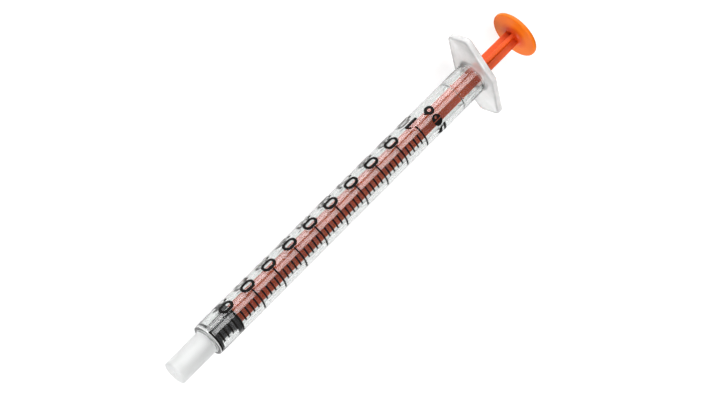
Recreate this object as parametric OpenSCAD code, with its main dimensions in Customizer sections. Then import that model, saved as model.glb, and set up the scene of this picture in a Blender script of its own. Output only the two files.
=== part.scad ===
// Oral syringe, 1 mL, for measuring liquid medicine.
// A clear barrel with a slip nozzle and finger flange, a cruciform plunger
// rod, a rubber piston snapped over the rod tip, and the scale printed on
// the barrel. Lengths are in millimetres.
//
// The syringe lies on its side. +X runs from the nozzle to the thumb disc,
// +Z is up, and the scale faces up. The origin is under the middle of the
// whole length, on the surface the syringe lies on.
// Stations along the barrel are measured from the end face of the nozzle.

/* [What to draw] */

// One sub-part, or all of them

/* [Barrel] */

// Outside diameter of the barrel
barrel_od = 6.6; // [6.2:0.1:7.4]
// Bore diameter, which sets how far apart the graduations are
bore_d = 4.76; // [4.5:0.02:5.0]
// Length from the end face of the nozzle to the rear face of the flange
barrel_len = 83.7; // [82:0.1:90]
// Rounding of the front edge of the barrel
shoulder_edge_r = 0.25; // [0.1:0.05:0.4]
// Depth of the lead-in chamfer at the open end of the bore
mouth_chamfer = 0.3; // [0.1:0.05:0.5]
// Station of the ridge that keeps the piston in the barrel
stop_station = 76.4; // [75.5:0.1:79]
// How far that ridge stands into the bore
stop_height = 0.13; // [0.05:0.01:0.2]

/* [Nozzle] */

// Outside diameter of the nozzle
nozzle_d = 4.78; // [4.4:0.02:5]
// Length of the nozzle in front of the barrel
nozzle_len = 8.57; // [7:0.01:9]
// Rounding of the end face
nozzle_edge_r = 0.3; // [0.1:0.05:0.5]
// Rounding in the corner between the nozzle and the barrel
nozzle_root_r = 0.45; // [0.2:0.05:0.5]
// Diameter of the outlet hole
outlet_d = 0.9; // [0.6:0.1:1.4]
// Depth of the outlet hole
outlet_len = 1.3; // [0.8:0.1:2]
// Diameter of the passage behind the outlet hole
passage_d = 2.1; // [1.8:0.1:2.4]

/* [Finger flange] */

// Flange width, tip to tip
flange_long = 18.54; // [16:0.1:24]
// Flange width across the middle
flange_short = 10.28; // [9.6:0.02:10.3]
// Width of the blunt ends
flange_end_w = 5.78; // [4:0.02:8]
// Thickness
flange_t = 1.4; // [1:0.1:2]
// Rounding of the six corners
flange_corner_r = 1.3; // [0.6:0.1:1.6]
// Rounding between the front face and the barrel
flange_root_r = 0.5; // [0.2:0.05:0.8]

/* [Piston] */

// Station of the front edge of the front sealing rib
piston_front = 9.4; // [9.38:0.01:9.5]
// Length from that edge to the rear face of the piston
piston_len = 5.7; // [5.5:0.05:7]
// Clearance between a sealing rib and the bore, on the radius
piston_gap = 0.03; // [0.02:0.01:0.06]
// Width of the front sealing rib
front_rib_w = 0.5; // [0.4:0.05:1]
// Width of the rear sealing rib
rear_rib_w = 1.45; // [0.8:0.05:1.8]
// Diameter between the ribs
waist_d = 3.9; // [3.6:0.05:4.2]
// Length of the slope from a rib down to the waist
rib_flank = 0.4; // [0.2:0.05:0.6]
// Diameter of the flat at the tip of the cone
nose_flat_d = 1.8; // [1.2:0.1:2]

/* [Plunger rod] */

// Diameter across the four ribs where they leave the collar
rod_d = 3.9; // [3.4:0.05:4.1]
// Diameter across the ribs at the thumb disc
rod_thumb_d = 3.25; // [2.8:0.05:4.1]
// Thickness of each rib
rod_rib_t = 0.8; // [0.6:0.05:1.2]
// Turn of the rod about its axis from ribs up, toward +Y
rod_turn = 31; // [0:1:90]
// Thickness of the collar that pushes on the piston
collar_t = 0.6; // [0.4:0.1:1]
// Diameter of the knob held inside the piston
knob_d = 2.7; // [2.2:0.1:2.8]
// Diameter of the neck behind the knob
knob_neck_d = 1.9; // [1.6:0.1:2]
// Clearance between the knob and its socket
knob_gap = 0.04; // [0.02:0.01:0.06]
// Diameter of the thumb disc
thumb_d = 10.16; // [10.16:0.02:12]
// Thickness of the thumb disc
thumb_t = 0.9; // [0.8:0.1:2]
// Length of rod between the barrel and the thumb disc when empty
rod_exposed = 10.65; // [9:0.05:14]

/* [Printing] */

// Capacity shown by the last graduation, in millilitres
capacity_ml = 1;
// Distance of the zero graduation behind the front face of the barrel
zero_inset = 0.4; // [0.4:0.02:0.6]
// Width of a graduation line
line_w = 0.35; // [0.15:0.05:0.45]
// Angle from the top to the numeral end of a long line, toward +Y
major_from = 42; // [30:1:44]
// Angle from the top to the other end of a long line, toward -Y
major_to = 46; // [20:1:60]
// Half of the angle a short line covers
minor_half = 18.5; // [10:0.5:25]
// Height of the numerals
numeral_h = 3.1; // [2.4:0.1:3.4]
// Width of a numeral
numeral_w = 2.1; // [1.6:0.1:2.2]
// Width of the strokes of a numeral
stroke = 0.58; // [0.3:0.02:0.62]
// Gap left and right of the decimal point
point_gap = 0.28; // [0.2:0.02:0.4]
// Station of the printed mark
mark_station = 69.3; // [68:0.1:74]
// Height and width of each figure in the mark
mark_size = 2.4; // [1.6:0.1:2.4]
// Angle between neighbouring figures in the mark
mark_pitch = 42.5; // [41:0.5:45]

/* [Hidden] */

$fn = 96;

barrel_r = barrel_od / 2;
bore_r = bore_d / 2;
thumb_r = thumb_d / 2;
flange_front = barrel_len - flange_t;
thumb_front = barrel_len + rod_exposed;
overall = thumb_front + thumb_t;

// The thumb disc stands lowest, so its radius is the height of the axis.
axis_h = thumb_r;

// The bore ends in a cone that leads to the passage of the nozzle.
bore_end = nozzle_len + 0.73;
cone_len = 0.7;

// Printed ink: a film that bites a little into the surface.
ink_in = 0.015;
ink_out = 0.02;

// One millilitre is a thousand cubic millimetres.
ml_len = 1000 / (PI * bore_r * bore_r);
zero_station = nozzle_len + zero_inset;
major_count = 10;
minor_per_major = 5;
major_pitch = ml_len * capacity_ml / major_count;
minor_pitch = major_pitch / minor_per_major;

// Degrees of turn for one millimetre along the printed surface.
deg_per_mm = 180 / (PI * barrel_r);

// The flange lies with the lower edge of one half flat.
flange_inner = [
    [flange_long / 2 - flange_corner_r, flange_end_w / 2 - flange_corner_r],
    [0, flange_short / 2 - flange_corner_r],
    [-flange_long / 2 + flange_corner_r, flange_end_w / 2 - flange_corner_r],
    [-flange_long / 2 + flange_corner_r, -flange_end_w / 2 + flange_corner_r],
    [0, -flange_short / 2 + flange_corner_r],
    [flange_long / 2 - flange_corner_r, -flange_end_w / 2 + flange_corner_r]
];
flange_slope = atan2(flange_inner[1][1] - flange_inner[0][1], flange_inner[0][0]);

// The straight edges run a hair inside the corner circles, so they cross.
corner_bite = 0.002;

// ---- placing ----

// Local Z runs along the barrel from the nozzle tip and local X points up.
// Turning by a positive angle about Z goes from the top toward -Y.
module on_axis() {
    translate([-overall / 2, 0, axis_h])
        rotate([0, 90, 0])
            rotate([0, 0, 180])
                children();
}

// Stands a flat figure on the printed surface, at an angle and a station.
// The top of the figure points to the nozzle and it reads toward +Y.
module printed_at(angle, station) {
    translate([0, 0, station])
        rotate([0, 0, angle])
            intersection() {
                rotate([-90, 0, 0])
                    rotate([0, 90, 0])
                        translate([0, 0, barrel_r - 1])
                            linear_extrude(height = 2)
                                children();
                ink_film(50, 6);
            }
}

// A piece of the ink film, centred on the top of the barrel.
module ink_film(half_angle, width) {
    rotate([0, 0, -half_angle])
        rotate_extrude(angle = 2 * half_angle)
            translate([barrel_r - ink_in, -width / 2])
                square([ink_in + ink_out, width]);
}

// ---- flat figures ----

// The straight-sided outline that six corner circles complete.
function grown(points, r) = [
    for (i = [0 : len(points) - 1])
        let (
            before = points[(i + len(points) - 1) % len(points)],
            here = points[i],
            after = points[(i + 1) % len(points)],
            d_in = (here - before) / norm(here - before),
            d_out = (after - here) / norm(after - here)
        )
        each [here + r * [d_in[1], -d_in[0]], here + r * [d_out[1], -d_out[0]]]
];

module flange_outline() {
    polygon(grown(flange_inner, flange_corner_r - corner_bite));
    for (p = flange_inner)
        translate(p)
            circle(r = flange_corner_r);
}

// A rod section: four ribs crossing at the axis, longer than they end up.
module rod_cross() {
    square([rod_d + 1, rod_rib_t], center = true);
    square([rod_rib_t, rod_d + 1], center = true);
}

// A band of stroke width between two points.
module bar(from, to) {
    along = (to - from) / norm(to - from);
    side = [-along[1], along[0]] * stroke / 2;
    polygon([from - side, to - side, to + side, from + side]);
}

// A ring of stroke width inside a circle of this radius.
module ring(r) {
    difference() {
        circle(r = r);
        circle(r = r - stroke);
    }
}

module digit_0() {
    r = numeral_w / 2;
    reach = numeral_h / 2 - r;
    difference() {
        union() {
            translate([0, reach]) circle(r = r);
            translate([0, -reach]) circle(r = r);
            square([2 * r, 2 * reach], center = true);
        }
        translate([0, reach]) circle(r = r - stroke);
        translate([0, -reach]) circle(r = r - stroke);
        square([2 * (r - stroke), 2 * reach], center = true);
    }
}

module digit_1() {
    top = numeral_h / 2;
    translate([-stroke / 2, -top])
        square([stroke, numeral_h]);
    polygon([
        [-stroke / 2 + 0.1, top],
        [-numeral_w * 0.42, top - numeral_h * 0.2],
        [-numeral_w * 0.42, top - numeral_h * 0.32],
        [-stroke / 2 + 0.1, top - numeral_h * 0.17]
    ]);
}

module digit_2() {
    r = numeral_w / 2;
    high = numeral_h / 2 - r;
    low = -numeral_h / 2;
    translate([0, high])
        difference() {
            ring(r);
            translate([-2 * r, -2 * r]) square([2 * r + 0.3 * r, 2 * r]);
            translate([0, -2 * r]) square([2 * r, 2 * r - 0.35 * r]);
        }
    polygon([
        [r * 0.94 - stroke, high - 0.35 * r],
        [r * 0.94, high - 0.35 * r],
        [-r + stroke * 1.45, low + stroke],
        [-r, low + stroke]
    ]);
    translate([-r, low])
        square([2 * r, stroke]);
}

module digit_3() {
    r = (numeral_h + stroke) / 4;
    difference() {
        union() {
            translate([0, r - stroke / 2]) ring(r);
            translate([0, -r + stroke / 2]) ring(r);
        }
        translate([-2 * r, -r * 0.75]) square([2 * r - r * 0.15, 1.5 * r]);
    }
}

module digit_4() {
    r = numeral_w / 2;
    top = numeral_h / 2;
    level = -numeral_h * 0.2;
    translate([r * 0.3, -top])
        square([stroke, numeral_h]);
    translate([-r, level - stroke / 2])
        square([2 * r, stroke]);
    polygon([
        [-r, level],
        [-r + stroke * 1.2, level],
        [r * 0.3 + stroke * 0.5, top - stroke * 0.7],
        [r * 0.3 + stroke * 0.5, top],
        [r * 0.3, top]
    ]);
}

module digit_5() {
    r = numeral_w / 2;
    low = -numeral_h / 2 + r;
    top = numeral_h / 2;
    translate([0, low])
        difference() {
            ring(r);
            translate([-2 * r, -r * 0.3]) square([2 * r - r * 0.3, r * 1.1]);
        }
    translate([-r * 0.78, low + r * 0.55])
        square([stroke, top - low - r * 0.55]);
    translate([-r * 0.78, top - stroke])
        square([r * 1.7, stroke]);
}

module digit_6() {
    r = numeral_w / 2;
    reach = numeral_h / 2 - r;
    translate([0, -reach]) ring(r);
    translate([-r, -reach])
        square([stroke, 2 * reach]);
    translate([0, reach])
        difference() {
            ring(r);
            translate([-2 * r, -2 * r]) square([4 * r, 2 * r]);
            translate([r * 0.75, -r]) square([r, r * 1.2]);
        }
}

module digit_7() {
    r = numeral_w / 2;
    top = numeral_h / 2;
    translate([-r, top - stroke])
        square([2 * r, stroke]);
    polygon([
        [r - stroke * 1.1, top - stroke],
        [r, top - stroke],
        [-r * 0.15, -top],
        [-r * 0.15 - stroke * 1.1, -top]
    ]);
}

module digit_8() {
    r = (numeral_h + stroke) / 4;
    translate([0, r - stroke / 2]) ring(r);
    translate([0, -r + stroke / 2]) ring(r);
}

module digit_9() {
    rotate([0, 0, 180]) digit_6();
}

module digit(n) {
    if (n == 0) digit_0();
    if (n == 1) digit_1();
    if (n == 2) digit_2();
    if (n == 3) digit_3();
    if (n == 4) digit_4();
    if (n == 5) digit_5();
    if (n == 6) digit_6();
    if (n == 7) digit_7();
    if (n == 8) digit_8();
    if (n == 9) digit_9();
}

// The decimal point sits on the base line of the numerals.
module decimal_point() {
    translate([-stroke / 2, -numeral_h / 2])
        square([stroke, stroke]);
}

// A drop, its point toward the nozzle, drawn as an outline.
module drop_figure() {
    r = mark_size * 0.41;
    low = -mark_size / 2 + r;
    difference() {
        union() {
            translate([0, low]) circle(r = r);
            polygon([[-r * 0.88, low + r * 0.475], [r * 0.88, low + r * 0.475], [0, mark_size / 2]]);
        }
        translate([0, low]) circle(r = r * 0.4);
    }
}

// A capsule lying across the barrel, split in the middle.
module capsule_figure() {
    r = mark_size * 0.4;
    reach = mark_size / 2 - r;
    difference() {
        union() {
            translate([reach, 0]) circle(r = r);
            translate([-reach, 0]) circle(r = r);
            square([2 * reach, 2 * r], center = true);
        }
        square([0.2, 3 * r], center = true);
        translate([r * 0.6, 0]) circle(r = r * 0.3);
    }
}

// A triangle that points to the nozzle over a plain bar.
module arrow_figure() {
    w = mark_size * 0.45;
    h = mark_size / 2;
    polygon([[-w, -h * 0.1], [w, -h * 0.1], [0, h]]);
    translate([-w, -h])
        square([2 * w, stroke]);
}

// ---- barrel ----

// Half section of the barrel and nozzle as if they were solid.
module barrel_outside() {
    nozzle_r = nozzle_d / 2;
    root_start = nozzle_len - nozzle_root_r;
    square([nozzle_r - nozzle_edge_r, nozzle_edge_r]);
    translate([nozzle_r - nozzle_edge_r, nozzle_edge_r])
        circle(r = nozzle_edge_r);
    translate([0, nozzle_edge_r])
        square([nozzle_r, nozzle_len + 1 - nozzle_edge_r]);
    difference() {
        translate([nozzle_r - 0.1, root_start])
            square([nozzle_root_r + 0.1, nozzle_root_r + 0.1]);
        translate([nozzle_r + nozzle_root_r, root_start])
            circle(r = nozzle_root_r);
    }
    translate([0, nozzle_len])
        square([barrel_r - shoulder_edge_r, 1]);
    translate([barrel_r - shoulder_edge_r, nozzle_len + shoulder_edge_r])
        circle(r = shoulder_edge_r);
    translate([0, nozzle_len + shoulder_edge_r])
        square([barrel_r, barrel_len - nozzle_len - shoulder_edge_r]);
    difference() {
        translate([barrel_r - 0.1, flange_front - flange_root_r])
            square([flange_root_r + 0.1, flange_root_r + 0.1]);
        translate([barrel_r + flange_root_r, flange_front - flange_root_r])
            circle(r = flange_root_r);
    }
}

// Half section of everything hollow inside the barrel.
module barrel_inside() {
    passage_r = passage_d / 2;
    outlet_r = outlet_d / 2;
    flare = passage_r - outlet_r;
    translate([0, -1])
        square([outlet_r, outlet_len + 1.5]);
    polygon([
        [0, outlet_len],
        [outlet_r, outlet_len],
        [passage_r, outlet_len + flare * 0.5],
        [passage_r, bore_end - cone_len],
        [bore_r, bore_end],
        [0, bore_end]
    ]);
    difference() {
        translate([0, bore_end])
            square([bore_r, barrel_len - bore_end + 1]);
        translate([bore_r + 0.5 - stop_height, stop_station])
            circle(r = 0.5);
    }
    polygon([
        [0, barrel_len - mouth_chamfer],
        [bore_r, barrel_len - mouth_chamfer],
        [bore_r + 2 * mouth_chamfer, barrel_len + mouth_chamfer],
        [0, barrel_len + mouth_chamfer]
    ]);
}

module barrel() {
    color([0.9, 0.93, 0.94, 0.4])
        on_axis()
            difference() {
                union() {
                    rotate_extrude()
                        barrel_outside();
                    translate([0, 0, flange_front])
                        rotate([0, 0, flange_slope - 90])
                            linear_extrude(height = flange_t)
                                flange_outline();
                }
                rotate_extrude()
                    barrel_inside();
            }
}

// ---- piston ----

module piston() {
    rib_r = bore_r - piston_gap;
    waist_r = waist_d / 2;
    nose_r = nose_flat_d / 2;
    slope = cone_len / (bore_r - passage_d / 2);
    nose_start = piston_front - (rib_r - nose_r) * slope;
    rear = piston_front + piston_len;
    front_rib_end = piston_front + front_rib_w;
    rear_rib_start = rear - rear_rib_w;
    color([0.09, 0.09, 0.1])
        on_axis()
            difference() {
                rotate_extrude()
                    polygon([
                        [0, nose_start],
                        [nose_r, nose_start],
                        [rib_r, piston_front],
                        [rib_r, front_rib_end],
                        [waist_r, front_rib_end + rib_flank],
                        [waist_r, rear_rib_start - rib_flank],
                        [rib_r, rear_rib_start],
                        [rib_r, rear],
                        [0, rear]
                    ]);
                rotate_extrude()
                    knob_section(knob_gap);
            }
}

// Half section of the knob and neck on the rod tip, grown by a clearance.
module knob_section(gap) {
    rear = piston_front + piston_len;
    knob_back = rear - 1.5;
    knob_front = knob_back - 1.3;
    r = knob_d / 2;
    polygon([
        [0, knob_front - gap - 0.5],
        [r * 0.5 + gap, knob_front - gap - 0.5],
        [r + gap, knob_front],
        [r + gap, knob_back + gap],
        [0, knob_back + gap]
    ]);
    square_from = knob_back - 0.2;
    translate([0, square_from])
        square([knob_neck_d / 2 + gap, rear - square_from + 0.2]);
}

// ---- plunger rod ----

module plunger_rod() {
    rear = piston_front + piston_len;
    collar_from = rear + 0.05;
    rod_from = collar_from + collar_t - 0.1;
    thumb_edge = thumb_t * 0.39;
    boss = 0.5;
    boss_r = rod_thumb_d / 2 + 0.02;
    color([0.93, 0.42, 0.16])
        on_axis() {
            rotate_extrude()
                knob_section(0);
            translate([0, 0, collar_from])
                cylinder(d = rod_d, h = collar_t);
            // The ribs get lower toward the thumb disc.
            intersection() {
                translate([0, 0, rod_from])
                    rotate([0, 0, -rod_turn])
                        linear_extrude(height = thumb_front - rod_from + 0.1)
                            rod_cross();
                translate([0, 0, rod_from])
                    cylinder(d1 = rod_d, d2 = rod_thumb_d, h = thumb_front - rod_from + 0.1);
            }
            translate([0, 0, thumb_front - boss])
                cylinder(r1 = boss_r, r2 = boss_r + boss, h = boss + 0.1);
            rotate_extrude() {
                translate([0, thumb_front])
                    square([thumb_r - thumb_edge, thumb_t]);
                translate([0, thumb_front + thumb_edge])
                    square([thumb_r, thumb_t - 2 * thumb_edge]);
                translate([thumb_r - thumb_edge, thumb_front + thumb_edge])
                    circle(r = thumb_edge);
                translate([thumb_r - thumb_edge, thumb_front + thumb_t - thumb_edge])
                    circle(r = thumb_edge);
            }
        }
}

// ---- printing ----

module ink_line(station, from, to) {
    translate([0, 0, station])
        rotate([0, 0, from])
            rotate_extrude(angle = to - from)
                translate([barrel_r - ink_in, -line_w / 2])
                    square([ink_in + ink_out, line_w]);
}

module scale_major_lines() {
    color([0.05, 0.05, 0.05])
        on_axis()
            for (i = [0 : major_count])
                ink_line(zero_station + i * major_pitch, -major_from, major_to);
}

module scale_minor_lines() {
    color([0.05, 0.05, 0.05])
        on_axis()
            for (i = [0 : major_count - 1])
                for (j = [1 : minor_per_major - 1])
                    ink_line(zero_station + i * major_pitch + j * minor_pitch, -minor_half, minor_half);
}

// Tenths from 0.1 to 1.0, each number starting at the end of its line.
module scale_numerals() {
    first = -major_from - (numeral_w / 2 + 0.06) * deg_per_mm;
    to_point = (numeral_w / 2 + point_gap + stroke / 2) * deg_per_mm;
    color([0.05, 0.05, 0.05])
        on_axis()
            for (i = [1 : major_count]) {
                station = zero_station + i * major_pitch;
                printed_at(first, station)
                    digit(floor(i / 10));
                printed_at(first - to_point, station)
                    decimal_point();
                printed_at(first - 2 * to_point, station)
                    digit(i % 10);
            }
}

// Three plain figures near the flange: a drop, a capsule and an arrow.
module printed_mark() {
    color([0.05, 0.05, 0.05])
        on_axis() {
            printed_at(-mark_pitch - 5.5, mark_station)
                drop_figure();
            printed_at(-5.5, mark_station)
                capsule_figure();
            printed_at(mark_pitch - 5.5, mark_station)
                arrow_figure();
        }
}

barrel();
piston();
plunger_rod();
scale_major_lines();
scale_minor_lines();
scale_numerals();
printed_mark();
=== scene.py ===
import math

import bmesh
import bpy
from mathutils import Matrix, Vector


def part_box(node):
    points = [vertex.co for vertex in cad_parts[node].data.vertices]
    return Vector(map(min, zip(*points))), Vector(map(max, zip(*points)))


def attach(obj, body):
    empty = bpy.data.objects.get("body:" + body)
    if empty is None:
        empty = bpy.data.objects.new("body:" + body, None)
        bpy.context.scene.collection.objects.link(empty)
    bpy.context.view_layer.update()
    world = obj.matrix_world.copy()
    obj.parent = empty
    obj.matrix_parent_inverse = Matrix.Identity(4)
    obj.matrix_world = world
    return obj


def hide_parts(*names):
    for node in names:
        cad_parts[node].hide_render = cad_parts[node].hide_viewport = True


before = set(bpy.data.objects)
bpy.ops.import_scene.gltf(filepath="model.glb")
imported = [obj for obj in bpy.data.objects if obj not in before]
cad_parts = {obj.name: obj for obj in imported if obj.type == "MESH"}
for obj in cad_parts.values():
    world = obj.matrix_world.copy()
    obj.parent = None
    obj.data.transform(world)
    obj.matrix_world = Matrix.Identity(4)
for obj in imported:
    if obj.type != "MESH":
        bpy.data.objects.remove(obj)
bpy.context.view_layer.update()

# A 1 mL oral syringe lying on a pale table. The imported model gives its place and
# its overall sizes, and the other sizes below are the ones it was built with. The
# clear barrel, the rubber piston and the plunger rod are rebuilt here with rounded
# edges and fine curves; the printing is the model's own.
#
# Stations along the barrel ("u") and radii are in millimetres, counted from the
# end face of the nozzle and from the barrel's axis. Turns about the axis are
# counted from straight up toward -Y.

MM = 0.001
barrel_lo, barrel_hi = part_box("barrel")
rod_lo, rod_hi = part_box("plunger_rod")
NOZZLE_X = barrel_lo.x
AXIS_Z = (barrel_lo.z + barrel_hi.z) / 2
SEGMENTS = 240

# ---- sizes the model was built with, in millimetres ----

BARREL_R = 3.3
BORE_R = 2.38
BARREL_LEN = (barrel_hi.x - barrel_lo.x) / MM
NOZZLE_R = 2.39
NOZZLE_LEN = 8.57
NOZZLE_EDGE = 0.3
NOZZLE_ROOT = 0.45
SHOULDER_EDGE = 0.25
OUTLET_R = 0.45
OUTLET_LEN = 1.3
PASSAGE_R = 1.05
BORE_START = 9.3
CONE_LEN = 0.7
STOP_STATION = 76.4
STOP_HEIGHT = 0.13
STOP_RIDGE_R = 0.5      # radius of the ridge's rounded top
MOUTH = 0.3

FLANGE_T = 1.4
FLANGE_LONG = 18.54
FLANGE_SHORT = 10.28
FLANGE_END = 5.78
FLANGE_CORNER = 1.3
FLANGE_ROOT = 0.5
FLANGE_EDGE = 0.45

PISTON_FRONT = 9.4
PISTON_REAR = 15.1
SEAL_R = 2.4            # a rib reaches 0.02 mm into the wall, so no air is left between
WAIST_R = 1.95
NOSE_R = 0.9
NOSE_START = 8.64
FRONT_RIB = 0.5         # widths of the two ribs
REAR_RIB = 1.45
RIB_SLOPE = 0.4         # length of a rib's slope down to the waist

KNOB_BACK = PISTON_REAR - 1.5
KNOB_FRONT = KNOB_BACK - 1.3
KNOB_R = 1.35
KNOB_NOSE = 0.5         # the knob narrows to half its radius over this length
NECK_R = 0.95
SOCKET_GAP = 0.04       # room between the knob and the rubber round it

ROD_R = 1.95            # at the collar
ROD_THUMB_R = 1.625     # at the thumb disc
RIB_T = 0.8
ROD_TURN = 31
COLLAR_FROM = 15.15
COLLAR_T = 0.6
THUMB_R = (rod_hi.z - rod_lo.z) / 2 / MM
THUMB_REAR = (rod_hi.x - NOZZLE_X) / MM
THUMB_T = 0.9
THUMB_FRONT = THUMB_REAR - THUMB_T
AXIS_RING = 0.05        # radius of the last ring before a flat end closes on the axis


def at(u):
    """The X coordinate of station u."""
    return NOZZLE_X + u * MM


# ---- mesh building ----

def place(u, r, turn):
    """The point at station u, radius r and turn about the axis, in the model's frame."""
    return Vector((at(u), -r * MM * math.sin(turn), AXIS_Z + r * MM * math.cos(turn)))


def arc(cu, cr, radius, start, end, steps=6):
    """Points (u, r) along an arc. Angles are in degrees from the u direction."""
    points = []
    for i in range(steps + 1):
        a = math.radians(start + (end - start) * i / steps)
        points.append((cu + radius * math.cos(a), cr + radius * math.sin(a)))
    return points


def rounded(points, radius, steps=4):
    """An open line of (u, r) points with its inner corners rounded off."""
    out = [points[0]]
    for before, here, after in zip(points, points[1:], points[2:]):
        p, q, s = (Vector(v) for v in (before, here, after))
        reach = min(radius, (p - q).length * 0.45, (s - q).length * 0.45)
        a = q + (p - q).normalized() * reach
        b = q + (s - q).normalized() * reach
        for i in range(steps + 1):
            t = i / steps
            v = a.lerp(q, t).lerp(q.lerp(b, t), t)
            out.append((v.x, v.y))
    out.append(points[-1])
    return out


class Shell:
    """Collects the faces of one piece."""

    def __init__(self):
        self.verts = []
        self.faces = []

    def ring(self, points):
        start = len(self.verts)
        self.verts.extend(points)
        return list(range(start, len(self.verts)))

    def bridge(self, one, other):
        n = len(one)
        for i in range(n):
            j = (i + 1) % n
            self.faces.append((one[i], one[j], other[j], other[i]))

    def fan(self, ring, centre, flip=False):
        self.verts.append(centre)
        c = len(self.verts) - 1
        n = len(ring)
        for i in range(n):
            j = (i + 1) % n
            self.faces.append((ring[i], ring[j], c) if flip else (ring[j], ring[i], c))

    def lathe(self, profile, closed=False, segments=SEGMENTS):
        """Turns a profile of (u, r) about the axis. r may be a function of the turn."""
        rings = []
        for u, r in profile:
            points = []
            for i in range(segments):
                turn = 2 * math.pi * i / segments
                points.append(place(u, r(turn) if callable(r) else r, turn))
            rings.append(self.ring(points))
        for one, other in zip(rings, rings[1:]):
            self.bridge(one, other)
        if closed:
            self.bridge(rings[-1], rings[0])
        else:
            self.fan(rings[0], place(profile[0][0], 0, 0), flip=False)
            self.fan(rings[-1], place(profile[-1][0], 0, 0), flip=True)

    def loft(self, sections):
        """Joins sections along the axis, each a station and an outline of (r, turn)."""
        rings = [self.ring([place(u, r, turn) for r, turn in outline]) for u, outline in sections]
        for one, other in zip(rings, rings[1:]):
            self.bridge(one, other)
        self.fan(rings[0], place(sections[0][0], 0, 0), flip=False)
        self.fan(rings[-1], place(sections[-1][0], 0, 0), flip=True)

    def make(self, name, material, sharp=35):
        mesh = bpy.data.meshes.new(name)
        mesh.from_pydata([tuple(v) for v in self.verts], [], self.faces)
        mesh.validate()
        mesh.polygons.foreach_set("use_smooth", [True] * len(mesh.polygons))
        mesh.set_sharp_from_angle(angle=math.radians(sharp))
        mesh.update()
        mesh.materials.append(material)
        obj = bpy.data.objects.new(name, mesh)
        bpy.context.scene.collection.objects.link(obj)
        return obj


def outward(obj):
    """Turns the faces of a closed mesh so that they face out of the solid."""
    bm = bmesh.new()
    bm.from_mesh(obj.data)
    bmesh.ops.recalc_face_normals(bm, faces=bm.faces)
    if bm.calc_volume(signed=True) < 0:
        bmesh.ops.reverse_faces(bm, faces=bm.faces)
    bm.to_mesh(obj.data)
    bm.free()


# ---- materials ----

# Haze is the share of light that the clear plastic scatters and does not let through.
NOZZLE_HAZE = 0.42
NOZZLE_ROUGH = 0.34
FLANGE_HAZE = 0.32
FLANGE_ROUGH = 0.16
FLANGE_EDGE_HAZE = 0.25
CONE_HAZE = 0.92
FRONT_EDGE_HAZE = 0.5
BARREL_HAZE = 0.022
WALL_DENSITY = 500
PLASTIC_IOR = 1.49      # polypropylene, taken for the orange plastic too

# The stations over which the nozzle's haze ends and the flange's begins.
NOZZLE_FADE = (8.2, 8.55)
FLANGE_FADE = (81.6, 82.6)

# Each pair is the two colours that a fine pattern runs between.
CLEAR_TINTS = ((0.925, 0.935, 0.93), (0.955, 0.96, 0.955))
WALL_TINT = (0.80, 0.815, 0.81, 1)
ROD_TINTS = ((0.62, 0.068, 0.003), (0.68, 0.087, 0.005))
# The rod's colour with painted shade, used round its foot where it meets the disc.
ROD_PAINTED_SHADE_TINTS = ((0.52, 0.034, 0.001), (0.58, 0.044, 0.002))
DISC_TINTS = ((0.72, 0.140, 0.003), (0.78, 0.185, 0.006))
RUBBER_TINTS = ((0.004, 0.004, 0.006), (0.010, 0.010, 0.013))
INK_TINTS = ((0.0015, 0.0012, 0.001), (0.006, 0.0045, 0.0038))


def new_material(name):
    mat = bpy.data.materials.new(name)
    mat.use_nodes = True
    tree = mat.node_tree
    shader = tree.nodes["Principled BSDF"]
    return mat, tree, shader


def object_point(tree, scale=(1, 1, 1)):
    """Object coordinates, so the pattern moves with its piece, stretched along each axis."""
    coords = tree.nodes.new("ShaderNodeTexCoord")
    mapping = tree.nodes.new("ShaderNodeMapping")
    mapping.inputs["Scale"].default_value = scale
    tree.links.new(coords.outputs["Object"], mapping.inputs["Vector"])
    return mapping.outputs["Vector"]


def noise(tree, vector, scale, detail=3.0, rough=0.55):
    node = tree.nodes.new("ShaderNodeTexNoise")
    node.inputs["Scale"].default_value = scale
    node.inputs["Detail"].default_value = detail
    node.inputs["Roughness"].default_value = rough
    tree.links.new(vector, node.inputs["Vector"])
    return node.outputs["Fac"]


def spread(tree, value, low, high, from_low=0.3, from_high=0.7):
    """value, run from its own range into low..high."""
    node = tree.nodes.new("ShaderNodeMapRange")
    node.inputs["From Min"].default_value = from_low
    node.inputs["From Max"].default_value = from_high
    node.inputs["To Min"].default_value = low
    node.inputs["To Max"].default_value = high
    tree.links.new(value, node.inputs["Value"])
    return node.outputs["Result"]


def arith(tree, operation, a, b):
    node = tree.nodes.new("ShaderNodeMath")
    node.operation = operation
    for socket, v in zip(node.inputs, (a, b)):
        if isinstance(v, (int, float)):
            socket.default_value = v
        else:
            tree.links.new(v, socket)
    return node.outputs[0]


def from_axis(tree, parts):
    """Distance from the syringe's axis, given the separated object coordinates."""
    y = parts.outputs["Y"]
    z = arith(tree, "SUBTRACT", parts.outputs["Z"], AXIS_Z)
    squares = arith(tree, "ADD", arith(tree, "MULTIPLY", y, y), arith(tree, "MULTIPLY", z, z))
    return arith(tree, "SQRT", squares, 0)


def between(tree, factor, one, other):
    """A colour that runs from one to other with the factor."""
    node = tree.nodes.new("ShaderNodeMix")
    node.data_type = "RGBA"
    node.inputs["A"].default_value = (*one, 1)
    node.inputs["B"].default_value = (*other, 1)
    tree.links.new(factor, node.inputs["Factor"])
    return node.outputs["Result"]


def relief(tree, shader, height, strength, distance):
    node = tree.nodes.new("ShaderNodeBump")
    node.inputs["Strength"].default_value = strength
    node.inputs["Distance"].default_value = distance
    tree.links.new(height, node.inputs["Height"])
    tree.links.new(node.outputs["Normal"], shader.inputs["Normal"])


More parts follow.
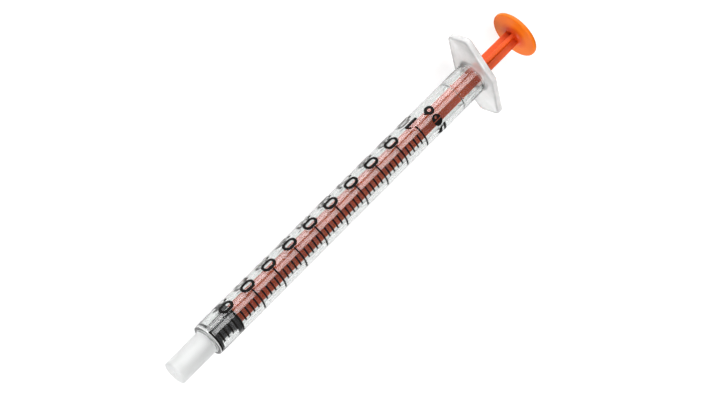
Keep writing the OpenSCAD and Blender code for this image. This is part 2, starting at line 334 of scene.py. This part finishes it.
def clear_plastic():
    """Natural polypropylene: clear in the thin wall, milkier in the nozzle and flange.

    The cone at the front end of the bore and the barrel's front edge are frosted.
    """
    mat, tree, shader = new_material("clear_polypropylene_look")
    along = tree.nodes.new("ShaderNodeSeparateXYZ")
    tree.links.new(object_point(tree), along.inputs[0])
    x = along.outputs["X"]
    at_nozzle = spread(tree, x, 1, 0, *(at(u) for u in NOZZLE_FADE))
    at_flange = spread(tree, x, 0, 1, *(at(u) for u in FLANGE_FADE))
    haze = arith(tree, "ADD", arith(tree, "MULTIPLY", at_nozzle, NOZZLE_HAZE),
                 arith(tree, "MULTIPLY", at_flange, FLANGE_HAZE))
    normal = tree.nodes.new("ShaderNodeSeparateXYZ")
    geometry = tree.nodes.new("ShaderNodeNewGeometry")
    tree.links.new(geometry.outputs["Normal"], normal.inputs[0])
    facing_end = arith(tree, "ABSOLUTE", normal.outputs["X"], 0)
    edge_wall = arith(tree, "MULTIPLY", spread(tree, facing_end, 1, 0, 0.35, 0.9), at_flange)
    haze = arith(tree, "ADD", haze, arith(tree, "MULTIPLY", edge_wall, FLANGE_EDGE_HAZE))
    reach = from_axis(tree, along)
    cone_start = BORE_START - CONE_LEN
    at_cone = arith(tree, "MULTIPLY",
                    spread(tree, x, 0, 1, at(cone_start - 0.02), at(cone_start + 0.02)),
                    spread(tree, x, 1, 0, at(BORE_START), at(BORE_START + 0.04)))
    at_cone = arith(tree, "MULTIPLY", at_cone,
                    spread(tree, reach, 1, 0, (BORE_R + 0.02) * MM, (BORE_R + 0.1) * MM))
    haze = arith(tree, "ADD", haze, arith(tree, "MULTIPLY", at_cone, CONE_HAZE))
    outside = spread(tree, reach, 0, 1, (BORE_R + 0.1) * MM, (BORE_R + 0.2) * MM)
    at_edge = arith(tree, "MULTIPLY",
                    spread(tree, x, 0, 1, at(NOZZLE_LEN + 0.02), at(NOZZLE_LEN + 0.08)),
                    spread(tree, x, 1, 0, at(NOZZLE_LEN + 0.3), at(NOZZLE_LEN + 0.5)))
    at_edge = arith(tree, "MULTIPLY", at_edge, outside)
    haze = arith(tree, "ADD", haze, arith(tree, "MULTIPLY", at_edge, FRONT_EDGE_HAZE))
    haze = arith(tree, "ADD", haze, BARREL_HAZE)
    flow = noise(tree, object_point(tree, (0.25, 1, 1)), 420, 4)
    haze = arith(tree, "MULTIPLY", haze, spread(tree, flow, 0.88, 1.12))
    tree.links.new(arith(tree, "SUBTRACT", 1, haze), shader.inputs["Transmission Weight"])
    tree.links.new(between(tree, flow, *CLEAR_TINTS), shader.inputs["Base Color"])
    scuff = noise(tree, object_point(tree, (0.15, 1, 1)), 1500, 5, 0.65)
    body_rough = spread(tree, scuff, 0.015, 0.07)
    ends = arith(tree, "ADD", arith(tree, "MULTIPLY", at_nozzle, NOZZLE_ROUGH),
                 arith(tree, "MULTIPLY", at_flange, FLANGE_ROUGH))
    tree.links.new(arith(tree, "ADD", body_rough, ends), shader.inputs["Roughness"])
    shader.inputs["IOR"].default_value = PLASTIC_IOR
    shader.inputs["Subsurface Weight"].default_value = 1.0
    shader.inputs["Subsurface Radius"].default_value = (1.0, 1.0, 1.0)
    shader.inputs["Subsurface Scale"].default_value = 0.0025
    relief(tree, shader, noise(tree, object_point(tree, (0.06, 1, 1)), 260, 2), 0.012, 0.00012)
    absorb = tree.nodes.new("ShaderNodeVolumeAbsorption")
    absorb.inputs["Color"].default_value = WALL_TINT
    absorb.inputs["Density"].default_value = WALL_DENSITY
    tree.links.new(absorb.outputs[0], tree.nodes["Material Output"].inputs["Volume"])
    return mat


def orange_plastic():
    """Moulded orange plastic: paler in the thin disc, and darker round the foot of the rod by
    painted shade where the rod meets the disc.
    """
    mat, tree, shader = new_material("orange_plastic_look")
    flow = noise(tree, object_point(tree, (0.2, 1, 1)), 350, 4)
    along = tree.nodes.new("ShaderNodeSeparateXYZ")
    tree.links.new(object_point(tree), along.inputs[0])
    x = along.outputs["X"]
    in_disc = spread(tree, x, 0, 1, at(THUMB_FRONT - 1.2), at(THUMB_FRONT + 0.2))
    off_centre = spread(tree, from_axis(tree, along), 0, 1, 1.5 * MM, 3.2 * MM)
    thin = arith(tree, "MULTIPLY", in_disc, off_centre)
    colour = tree.nodes.new("ShaderNodeMix")
    colour.data_type = "RGBA"
    tree.links.new(thin, colour.inputs["Factor"])
    # Painted shade: the rod's colour darkens over its last 3 mm toward the disc, as if shaded
    # where the two meet.
    shade_near_disc = spread(tree, x, 0, 1, at(THUMB_FRONT - 3.0), at(THUMB_FRONT - 0.3))
    rod_colour = tree.nodes.new("ShaderNodeMix")
    rod_colour.data_type = "RGBA"
    tree.links.new(shade_near_disc, rod_colour.inputs["Factor"])
    tree.links.new(between(tree, flow, *ROD_TINTS), rod_colour.inputs["A"])
    tree.links.new(between(tree, flow, *ROD_PAINTED_SHADE_TINTS), rod_colour.inputs["B"])
    tree.links.new(rod_colour.outputs["Result"], colour.inputs["A"])
    tree.links.new(between(tree, flow, *DISC_TINTS), colour.inputs["B"])
    tree.links.new(colour.outputs["Result"], shader.inputs["Base Color"])
    grain = noise(tree, object_point(tree), 4500, 3)
    tree.links.new(spread(tree, grain, 0.38, 0.48), shader.inputs["Roughness"])
    shader.inputs["IOR"].default_value = PLASTIC_IOR
    shader.inputs["Specular IOR Level"].default_value = 0.2
    shader.inputs["Subsurface Weight"].default_value = 0.15
    shader.inputs["Subsurface Radius"].default_value = (1.0, 0.35, 0.12)
    shader.inputs["Subsurface Scale"].default_value = 0.0007
    relief(tree, shader, grain, 0.12, 0.00003)
    return mat


def black_rubber():
    """Black rubber with a fine, faintly glossy skin."""
    mat, tree, shader = new_material("black_rubber_look")
    cloud = noise(tree, object_point(tree), 900, 4)
    tree.links.new(between(tree, cloud, *RUBBER_TINTS), shader.inputs["Base Color"])
    skin = noise(tree, object_point(tree), 9000, 4, 0.6)
    tree.links.new(spread(tree, skin, 0.38, 0.6), shader.inputs["Roughness"])
    shader.inputs["Specular IOR Level"].default_value = 0.5
    relief(tree, shader, skin, 0.3, 0.00002)
    return mat


def black_ink():
    """Printed ink: a thin film, a little uneven and speckled."""
    mat, tree, shader = new_material("black_ink_look")
    film = noise(tree, object_point(tree), 2600, 5, 0.65)
    tree.links.new(between(tree, film, *INK_TINTS), shader.inputs["Base Color"])
    tree.links.new(spread(tree, film, 0.55, 0.8), shader.inputs["Roughness"])
    shader.inputs["Specular IOR Level"].default_value = 0.12
    relief(tree, shader, noise(tree, object_point(tree), 7000, 3), 0.25, 0.00002)
    return mat


CLEAR = clear_plastic()
ORANGE = orange_plastic()
RUBBER = black_rubber()
INK = black_ink()


# ---- barrel ----

def to_polygon(x, y, corners):
    """Signed distance from a point to a convex polygon, negative inside."""
    best = None
    inside = True
    n = len(corners)
    for i in range(n):
        a, b = Vector(corners[i]), Vector(corners[(i + 1) % n])
        p = Vector((x, y))
        edge = b - a
        t = max(0.0, min(1.0, (p - a).dot(edge) / edge.length_squared))
        d = (p - (a + edge * t)).length
        best = d if best is None else min(best, d)
        if edge.x * (y - a.y) - edge.y * (x - a.x) < 0:
            inside = False
    return -best if inside else best


FLANGE_REACH = FLANGE_LONG / 2 - FLANGE_CORNER      # to the middle of the corner roundings

# The flange is turned until the lower edge of its -Y half lies flat.
FLANGE_SLOPE = math.atan2((FLANGE_SHORT - FLANGE_END) / 2, FLANGE_REACH)
FLANGE_TURN = FLANGE_SLOPE - math.pi / 2


def flange_corners():
    x = FLANGE_REACH
    y_end = FLANGE_END / 2 - FLANGE_CORNER
    y_mid = FLANGE_SHORT / 2 - FLANGE_CORNER
    return [(x, -y_end), (x, y_end), (0, y_mid), (-x, y_end), (-x, -y_end), (0, -y_mid)]


def flange_radius(turn, inset=0.0):
    """How far the flange reaches from the axis at a turn, less an inset from its edge."""
    a = turn - FLANGE_TURN
    corners = flange_corners()
    lo, hi = 0.0, FLANGE_LONG
    for _ in range(30):
        mid = (lo + hi) / 2
        if to_polygon(mid * math.cos(a), mid * math.sin(a), corners) < FLANGE_CORNER - inset:
            lo = mid
        else:
            hi = mid
    return lo


def flange_ring(inset):
    """The flange's reach as a function of the turn, worked out once for each turn."""
    table = {}

    def radius(turn):
        if turn not in table:
            table[turn] = flange_radius(turn, inset)
        return table[turn]
    return radius


def barrel_profile():
    """The barrel's closed section: outside from the outlet to the flange, then the bore.

    Points that lie between two corners only split a long face.
    """
    front = BARREL_LEN - FLANGE_T
    rear = BARREL_LEN
    root = NOZZLE_LEN - NOZZLE_ROOT
    out = [(0.05, OUTLET_R), (0.0, OUTLET_R + 0.05)]
    out += [(0.0, 1.2)]
    out += arc(NOZZLE_EDGE, NOZZLE_R - NOZZLE_EDGE, NOZZLE_EDGE, 180, 90)
    out += [(2.5, NOZZLE_R), (5.5, NOZZLE_R)]
    out += arc(root, NOZZLE_R + NOZZLE_ROOT, NOZZLE_ROOT, 270, 360)
    out += arc(NOZZLE_LEN + SHOULDER_EDGE, BARREL_R - SHOULDER_EDGE, SHOULDER_EDGE, 180, 90)
    out += [(NOZZLE_LEN + (front - NOZZLE_LEN) * i / 10, BARREL_R) for i in range(1, 10)]
    out += arc(front - FLANGE_ROOT, BARREL_R + FLANGE_ROOT, FLANGE_ROOT, 270, 360)
    for step in range(6):
        a = math.radians(18 * step)
        out.append((front + FLANGE_EDGE * (1 - math.cos(a)),
                    flange_ring(FLANGE_EDGE * (1 - math.sin(a)))))
    for step in range(6):
        a = math.radians(18 * step)
        out.append((rear - FLANGE_EDGE * (1 - math.sin(a)),
                    flange_ring(FLANGE_EDGE * (1 - math.cos(a)))))
    out += [(rear, BORE_R + MOUTH), (rear - MOUTH, BORE_R)]
    sunk = STOP_RIDGE_R - STOP_HEIGHT       # how deep the ridge's centre lies in the wall
    half = math.sqrt(STOP_RIDGE_R ** 2 - sunk ** 2)
    out += [(STOP_STATION + 1.5, BORE_R)]
    for i in range(9):
        s = half - 2 * half * i / 8
        out.append((STOP_STATION + s, BORE_R - (math.sqrt(STOP_RIDGE_R ** 2 - s * s) - sunk)))
    out += [(STOP_STATION - 1.5 - 6.5 * i, BORE_R) for i in range(11)]
    out += [(BORE_START, BORE_R), (BORE_START - CONE_LEN, PASSAGE_R)]
    out += [(5.0, PASSAGE_R), (OUTLET_LEN + 0.3, PASSAGE_R), (OUTLET_LEN, OUTLET_R)]
    return out


def build_barrel():
    shell = Shell()
    shell.lathe(barrel_profile(), closed=True)
    obj = shell.make("barrel_moulding", CLEAR, sharp=32)
    outward(obj)
    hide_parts("barrel")
    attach(obj, "barrel")
    return obj


# ---- piston ----

def build_piston():
    socket_back = KNOB_BACK + SOCKET_GAP
    socket_front = KNOB_FRONT - KNOB_NOSE - SOCKET_GAP
    section = rounded([
        (NOSE_START, AXIS_RING),
        (NOSE_START, NOSE_R),
        (PISTON_FRONT, SEAL_R),
        (PISTON_FRONT + FRONT_RIB, SEAL_R),
        (PISTON_FRONT + FRONT_RIB + RIB_SLOPE, WAIST_R),
        (PISTON_REAR - REAR_RIB - RIB_SLOPE, WAIST_R),
        (PISTON_REAR - REAR_RIB, SEAL_R),
        (PISTON_REAR, SEAL_R),
        (PISTON_REAR, NECK_R + SOCKET_GAP),
        (socket_back, NECK_R + SOCKET_GAP),
        (socket_back, KNOB_R + SOCKET_GAP),
        (KNOB_FRONT, KNOB_R + SOCKET_GAP),
        (socket_front, KNOB_R / 2 + SOCKET_GAP),
        (socket_front, AXIS_RING),
    ], 0.12)
    shell = Shell()
    shell.lathe(section)
    obj = shell.make("rubber_piston", RUBBER, sharp=60)
    outward(obj)
    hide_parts("piston")
    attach(obj, "piston")
    return obj


# ---- plunger rod ----

def cross_outline(reach):
    """Four crossing ribs inside a circle of radius reach, softly rounded, as (r, turn)."""
    half = RIB_T / 2
    edge = 0.1
    fillet = 0.14
    points = []
    tip = math.sqrt(reach ** 2 - half ** 2)
    for quarter in range(4):
        base = math.radians(90 * quarter - ROD_TURN)
        corner = half - edge
        rib = []
        for i in range(7):
            y = -corner + 2 * corner * i / 6
            rib.append((math.sqrt(reach ** 2 - y * y), y))
        up = [(tip - edge * (1 - math.cos(math.radians(a))) * 0.6,
               corner + edge * math.sin(math.radians(a)))
              for a in (30, 60, 90)]
        flank = [(tip - 0.35, half), (1.0, half)]
        inner = []
        for i in range(5):
            a = math.radians(270 - 90 * i / 4)
            inner.append((half + fillet + fillet * math.cos(a),
                          half + fillet + fillet * math.sin(a)))
        other_flank = [(half, 1.0), (half, tip - 0.35)]
        down = [(y, x) for x, y in reversed(up)]
        for x, y in rib + up + flank + inner + other_flank + down:
            points.append((math.hypot(x, y), base + math.atan2(y, x)))
    return points


def build_rod():
    shell = Shell()
    shell.lathe(rounded([
        (KNOB_FRONT - KNOB_NOSE, AXIS_RING),
        (KNOB_FRONT - KNOB_NOSE, KNOB_R / 2),
        (KNOB_FRONT, KNOB_R),
        (KNOB_BACK, KNOB_R),
        (KNOB_BACK, NECK_R),
        (COLLAR_FROM, NECK_R),
        (COLLAR_FROM, ROD_R),
        (COLLAR_FROM + COLLAR_T, ROD_R),
        (COLLAR_FROM + COLLAR_T, AXIS_RING),
    ], 0.08), segments=96)
    bite = 0.1          # how far the ribs run into the collar and into the disc
    rod_from = COLLAR_FROM + COLLAR_T - bite
    rod_to = THUMB_FRONT + bite
    steps = 16
    sections = []
    for i in range(steps + 1):
        t = i / steps
        sections.append((rod_from + (rod_to - rod_from) * t,
                         cross_outline(ROD_R + (ROD_THUMB_R - ROD_R) * t)))
    shell.loft(sections)
    boss_r = ROD_THUMB_R + 0.02
    disc = [(THUMB_FRONT - 0.5, AXIS_RING), (THUMB_FRONT - 0.5, boss_r)]
    disc += [(THUMB_FRONT - 0.25, boss_r + 0.16), (THUMB_FRONT - 0.08, boss_r + 0.34)]
    disc += [(THUMB_FRONT, boss_r + 0.6)]
    rim = THUMB_T * 0.39
    disc += arc(THUMB_FRONT + rim, THUMB_R - rim, rim, 180, 90, 8)
    disc += arc(THUMB_REAR - rim, THUMB_R - rim, rim, 90, 0, 8)
    disc += [(THUMB_REAR, 3.0), (THUMB_REAR, 0.8), (THUMB_REAR, AXIS_RING)]
    shell.lathe(disc, segments=160)
    obj = shell.make("plunger_moulding", ORANGE, sharp=38)
    outward(obj)
    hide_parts("plunger_rod")
    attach(obj, "plunger_rod")
    return obj


build_barrel()
build_piston()
build_rod()

for name in ("scale_major_lines", "scale_minor_lines", "scale_numerals", "printed_mark"):
    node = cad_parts[name]
    node.data.materials.clear()
    node.data.materials.append(INK)


# ---- table, light and camera ----

# A lean is counted about the syringe's axis, from the camera's side toward lower right
# in view. A reach is how far a light stands toward the thumb end, per unit of height.
WORLD_LIGHT = 0.14
TABLE_GLOW = 0.72
BOX_LENGTH = 0.6
BOX_REACH = 0.4
KEY_LEAN = math.radians(-5)
KEY_DISTANCE = 0.76
KEY_WIDTH = 0.39
KEY_POWER = 3.3
SIDE_LEAN = math.radians(-49)
SIDE_DISTANCE = 0.86
SIDE_WIDTH = 0.47
SIDE_POWER = 5.9
FILL_LEAN = math.radians(60)
FILL_REACH = -1.1       # below zero, so this light stands toward the nozzle
FILL_DISTANCE = 1.0
FILL_SIZE = 0.7
FILL_POWER = 11.0

LENS = 127.05           # millimetres, on a sensor 36 mm wide
LENS_SHIFT = (-0.01154, -0.01594)
DISTANCE = 0.4565


def pale_table():
    mat, tree, shader = new_material("pale_table")
    tone = noise(tree, object_point(tree), 30, 3)
    tree.links.new(between(tree, tone, (0.38, 0.38, 0.38), (0.42, 0.42, 0.42)),
                   shader.inputs["Base Color"])
    shader.inputs["Roughness"].default_value = 0.9
    shader.inputs["Specular IOR Level"].default_value = 0.1
    shader.inputs["Emission Color"].default_value = (1, 1, 1, 1)
    shader.inputs["Emission Strength"].default_value = TABLE_GLOW
    size = 6.0
    mesh = bpy.data.meshes.new("table")
    mesh.from_pydata([(-size, -size, 0), (size, -size, 0), (size, size, 0), (-size, size, 0)],
                     [], [(0, 1, 2, 3)])
    mesh.materials.append(mat)
    obj = bpy.data.objects.new("table", mesh)
    bpy.context.scene.collection.objects.link(obj)


# The camera looks at a point on the axis, 2.2 mm from the middle toward the thumb end.
# Its directions are those of the camera that was fitted to the printed graduations.
TOWARD_CAMERA = Vector((-0.3760, 0.3857, 0.8425)).normalized()
CAMERA_RIGHT = Vector((0.6562, -0.5311, 0.5360))
CAMERA_UP = Vector((0.6542, 0.7544, -0.0534))
LOOK_AT = Vector((0.002225, 0, AXIS_Z))
ACROSS = Vector((0, -0.9092, 0.4163))      # square to the axis, toward lower right in view
FACING = Vector((0, 0.4163, 0.9092))       # square to the axis, toward the camera's side


def softbox(name, toward, distance, length, width, power):
    """A rectangular light that faces LOOK_AT, its length lying along the syringe."""
    light = bpy.data.lights.new(name, "AREA")
    light.shape = "RECTANGLE"
    light.size = length
    light.size_y = width
    light.energy = power
    obj = bpy.data.objects.new(name, light)
    back = toward.normalized()
    along = Vector((1, 0, 0))
    side = (along - back * along.dot(back)).normalized()
    up = back.cross(side)
    rotation = Matrix((side, up, back)).transposed().to_4x4()
    obj.matrix_world = Matrix.Translation(LOOK_AT + back * distance) @ rotation
    bpy.context.scene.collection.objects.link(obj)


def lights():
    world = bpy.data.worlds.new("studio")
    bpy.context.scene.world = world
    world.use_nodes = True
    background = world.node_tree.nodes["Background"]
    background.inputs["Color"].default_value = (1, 1, 1, 1)
    background.inputs["Strength"].default_value = WORLD_LIGHT
    for name, lean, reach, distance, length, width, power in (
            ("key_softbox", KEY_LEAN, BOX_REACH, KEY_DISTANCE, BOX_LENGTH, KEY_WIDTH, KEY_POWER),
            ("side_softbox", SIDE_LEAN, BOX_REACH, SIDE_DISTANCE, BOX_LENGTH, SIDE_WIDTH,
             SIDE_POWER),
            ("front_fill", FILL_LEAN, FILL_REACH, FILL_DISTANCE, FILL_SIZE, FILL_SIZE,
             FILL_POWER)):
        toward = FACING * math.cos(lean) + ACROSS * math.sin(lean) + Vector((reach, 0, 0))
        softbox(name, toward, distance, length, width, power)


def camera():
    data = bpy.data.cameras.new("camera")
    data.lens = LENS
    data.sensor_width = 36
    data.sensor_fit = "HORIZONTAL"
    data.shift_x, data.shift_y = LENS_SHIFT
    data.clip_start = 0.01
    data.dof.use_dof = False
    obj = bpy.data.objects.new("camera", data)
    rotation = Matrix((CAMERA_RIGHT, CAMERA_UP, TOWARD_CAMERA)).transposed().to_4x4()
    obj.matrix_world = Matrix.Translation(LOOK_AT + TOWARD_CAMERA * DISTANCE) @ rotation
    bpy.context.scene.collection.objects.link(obj)
    bpy.context.scene.camera = obj


pale_table()
lights()
camera()

scene = bpy.context.scene
scene.view_settings.view_transform = "Standard"
scene.view_settings.look = "None"
scene.cycles.max_bounces = 24
scene.cycles.transmission_bounces = 20
scene.cycles.transparent_max_bounces = 16
